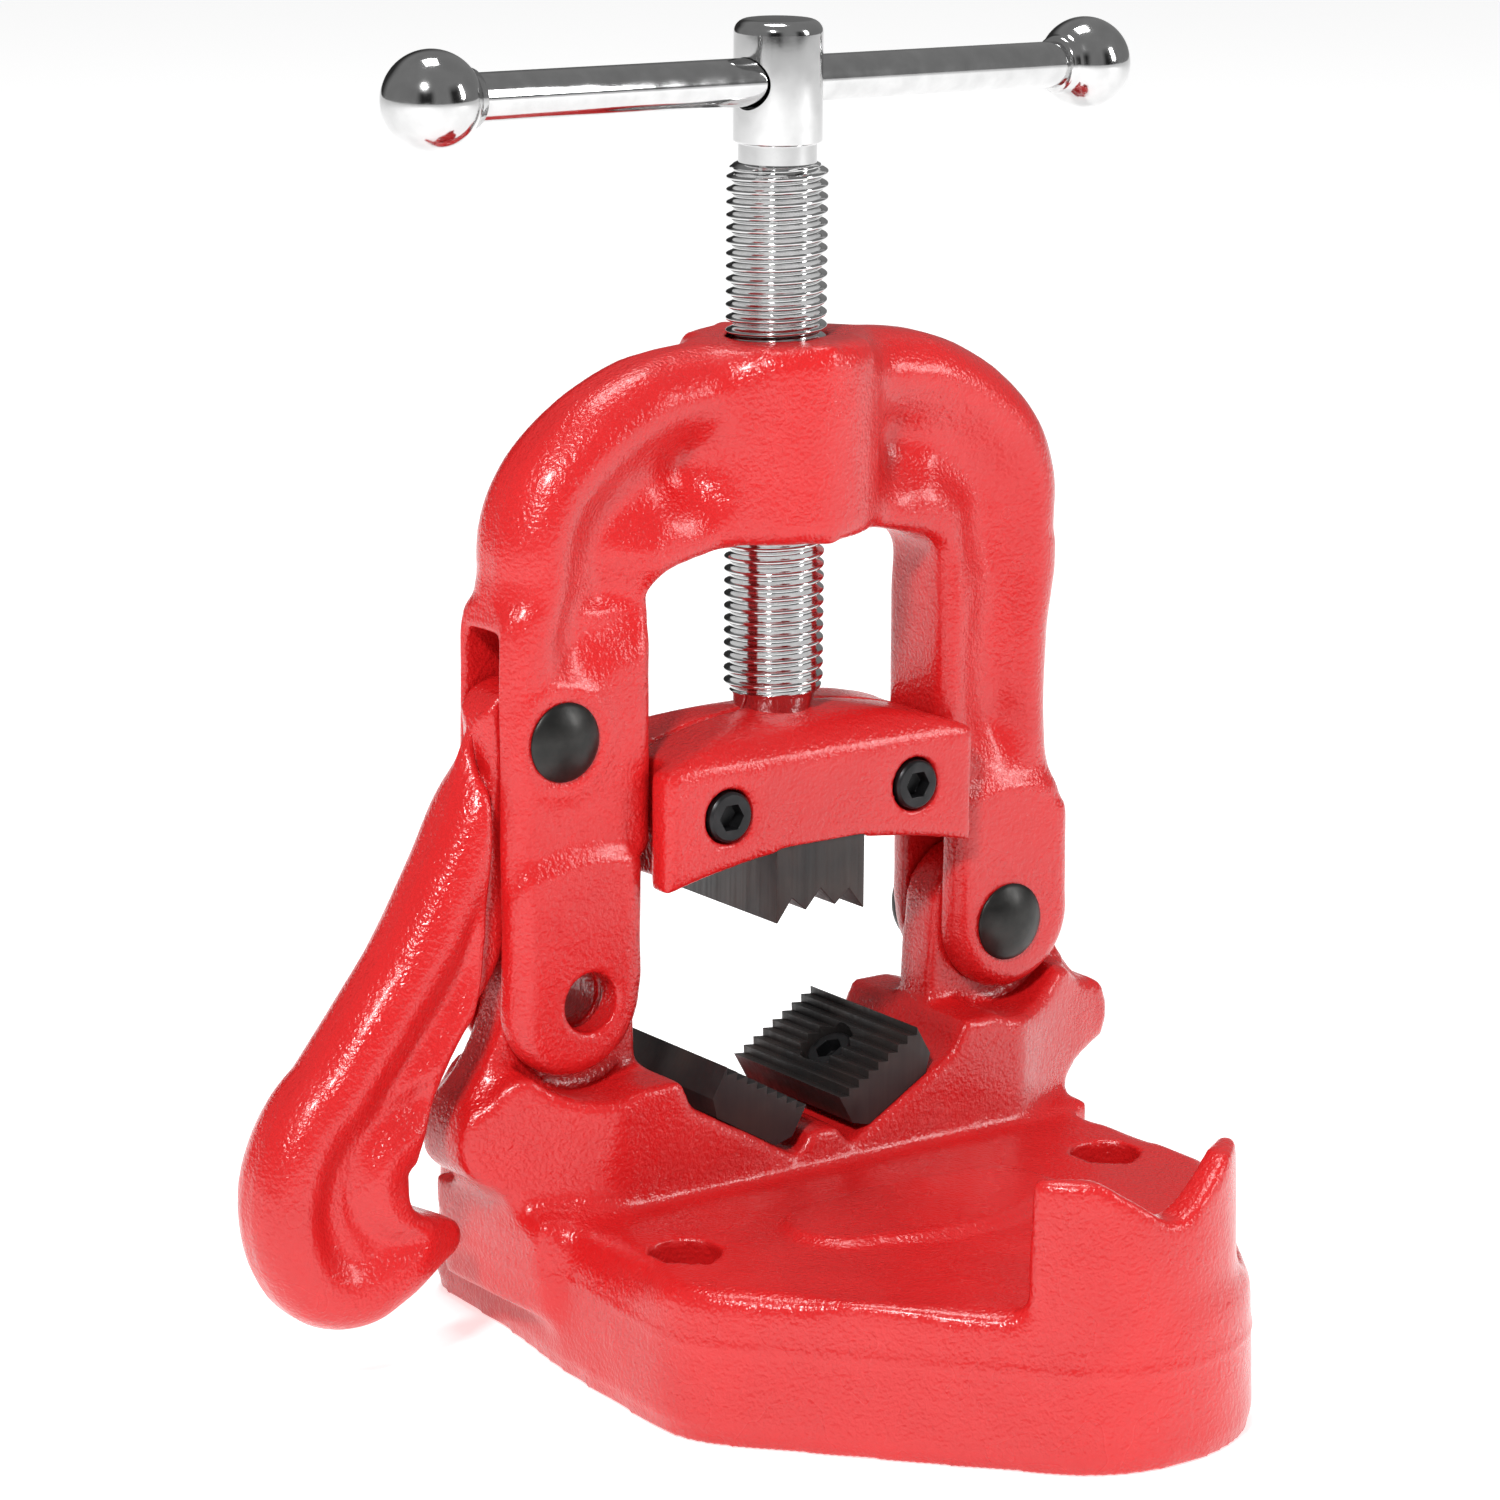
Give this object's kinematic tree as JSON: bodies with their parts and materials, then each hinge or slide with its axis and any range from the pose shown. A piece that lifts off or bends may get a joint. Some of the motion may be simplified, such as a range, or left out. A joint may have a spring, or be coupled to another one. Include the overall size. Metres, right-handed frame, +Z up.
{
  "type": "bench yoke pipe vise",
  "caption": "Hinged yoke pipe vise: cast foot with V rest and toothed jaws, horseshoe yoke with side latch hook, chromed screw and T-handle.",
  "frame": {"origin": "on the bench plane, straight under the spindle's axis", "axes": "+X towards the yoke's hinge, +Y towards the back, away from the nose, +Z up along the spindle"},
  "size_m": [0.2194, 0.1665, 0.2572],
  "materials": {
    "red_enamel": "glossy red enamel over a sand-cast skin",
    "black_steel": "black oxide, ridge tops slightly worn",
    "black_pin": "satin black, forged",
    "black_screw": "black oxide",
    "plain_steel": "plain turned steel",
    "chrome_plate": "bright chrome plate"
  },
  "bodies": {
    "base": {"base_casting": "red_enamel", "lower_jaw_left": "black_steel", "lower_jaw_right": "black_steel", "lower_jaw_screw_left": "black_screw", "lower_jaw_screw_right": "black_screw"},
    "yoke": {"yoke_casting": "red_enamel", "hinge_pin": "black_pin", "hinge_pin_washer": "black_pin", "latch_pin": "black_pin", "latch_pin_washer": "black_pin"},
    "latch": {"latch_hook": "red_enamel"},
    "carrier": {"jaw_carrier_front": "red_enamel", "jaw_carrier_rear": "red_enamel", "carrier_screw_left": "black_screw", "carrier_screw_right": "black_screw", "upper_jaw": "black_steel", "thrust_washer": "plain_steel"},
    "spindle": {"spindle_screw": "chrome_plate"},
    "handle": {"handle_bar": "chrome_plate", "handle_ball_left": "chrome_plate", "handle_ball_right": "chrome_plate"}
  },
  "joints": [
    {"name": "yoke_hinge", "type": "hinge", "parent": "base", "child": "yoke", "pos_m": [0.0516, 0, 0.071], "axis": [0, 1, 0], "range_deg": [0, 60]},
    {"name": "latch_hinge", "type": "hinge", "parent": "yoke", "child": "latch", "pos_m": [-0.057, 0, 0.1235], "axis": [0, 1, 0], "range_deg": [-3.5, 26]},
    {"name": "carrier_slide", "type": "slide", "parent": "yoke", "child": "carrier", "axis": [0, 0, 1], "range_m": [-0.033, 0.03]},
    {"name": "spindle_turn", "type": "hinge", "parent": "carrier", "child": "spindle", "pos_m": [0, 0, 0.15], "axis": [0, 0, 1], "range_deg": [-4752, 4320]},
    {"name": "handle_slide", "type": "slide", "parent": "spindle", "child": "handle", "axis": [0.9888, 0.146, -0.0321], "range_m": [-0.07, 0.07]}
  ],
  "couplings": [
    {"joint": "carrier_slide", "follows": "spindle_turn", "m_per_rad": 0.00039789}
  ]
}
